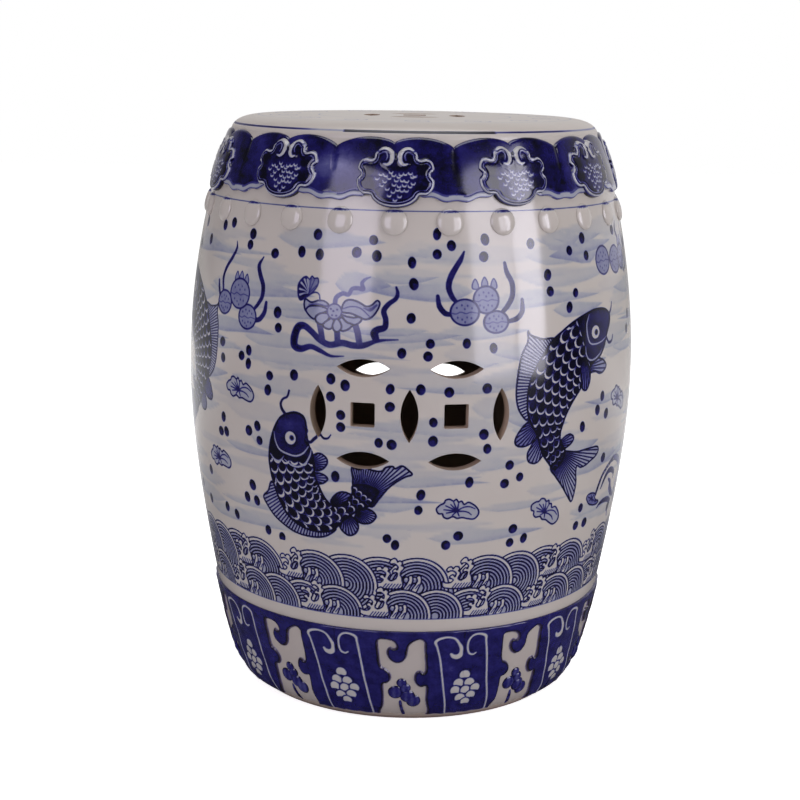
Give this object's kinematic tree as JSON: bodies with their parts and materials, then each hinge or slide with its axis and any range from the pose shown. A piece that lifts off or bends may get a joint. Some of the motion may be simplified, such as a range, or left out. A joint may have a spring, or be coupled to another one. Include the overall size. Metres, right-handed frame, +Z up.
{
  "type": "ceramic garden stool",
  "caption": "Barrel-shaped hollow ceramic garden stool with pierced coin holes, a pierced seat, raised studs, ruyi collar and foot frieze, painted in cobalt blue.",
  "frame": {"origin": "centre of the foot, in the plane of the floor", "axes": "+Z up along the barrel's axis, -Y towards the front pair of pierced coins, +X to the right of someone facing it"},
  "size_m": [0.3609, 0.3608, 0.46],
  "materials": {
    "white_glaze": "clear glossy glaze over white slip, brushed with pale and dark cobalt under the glaze",
    "cobalt_glaze": "clear glossy glaze over a dense cobalt wash"
  },
  "bodies": {
    "root": {"barrel_wall": "white_glaze", "seat_disc": "white_glaze", "foot_ring": "white_glaze", "stud_01": "white_glaze", "stud_02": "white_glaze", "stud_03": "white_glaze", "stud_04": "white_glaze", "stud_05": "white_glaze", "stud_06": "white_glaze", "stud_07": "white_glaze", "stud_08": "white_glaze", "stud_09": "white_glaze", "stud_10": "white_glaze", "stud_11": "white_glaze", "stud_12": "white_glaze", "stud_13": "white_glaze", "stud_14": "white_glaze", "stud_15": "white_glaze", "stud_16": "white_glaze", "stud_17": "white_glaze", "stud_18": "white_glaze", "stud_19": "white_glaze", "stud_20": "white_glaze", "stud_21": "white_glaze", "stud_22": "white_glaze", "stud_23": "white_glaze", "stud_24": "white_glaze", "stud_25": "white_glaze", "stud_26": "white_glaze", "lappet_collar": "cobalt_glaze", "foot_frieze": "cobalt_glaze", "ruyi_head_01": "cobalt_glaze", "ruyi_head_02": "cobalt_glaze", "ruyi_head_03": "cobalt_glaze", "ruyi_head_04": "cobalt_glaze", "ruyi_head_05": "cobalt_glaze", "ruyi_head_06": "cobalt_glaze", "ruyi_head_07": "cobalt_glaze", "ruyi_head_08": "cobalt_glaze", "ruyi_head_09": "cobalt_glaze", "ruyi_head_10": "cobalt_glaze", "ruyi_head_11": "cobalt_glaze", "reserve_flower_01": "cobalt_glaze", "reserve_flower_02": "cobalt_glaze", "reserve_flower_03": "cobalt_glaze", "reserve_flower_04": "cobalt_glaze", "reserve_flower_05": "cobalt_glaze", "reserve_flower_06": "cobalt_glaze", "reserve_flower_07": "cobalt_glaze", "reserve_flower_08": "cobalt_glaze", "reserve_flower_09": "cobalt_glaze", "reserve_flower_10": "cobalt_glaze"}
  },
  "joints": []
}
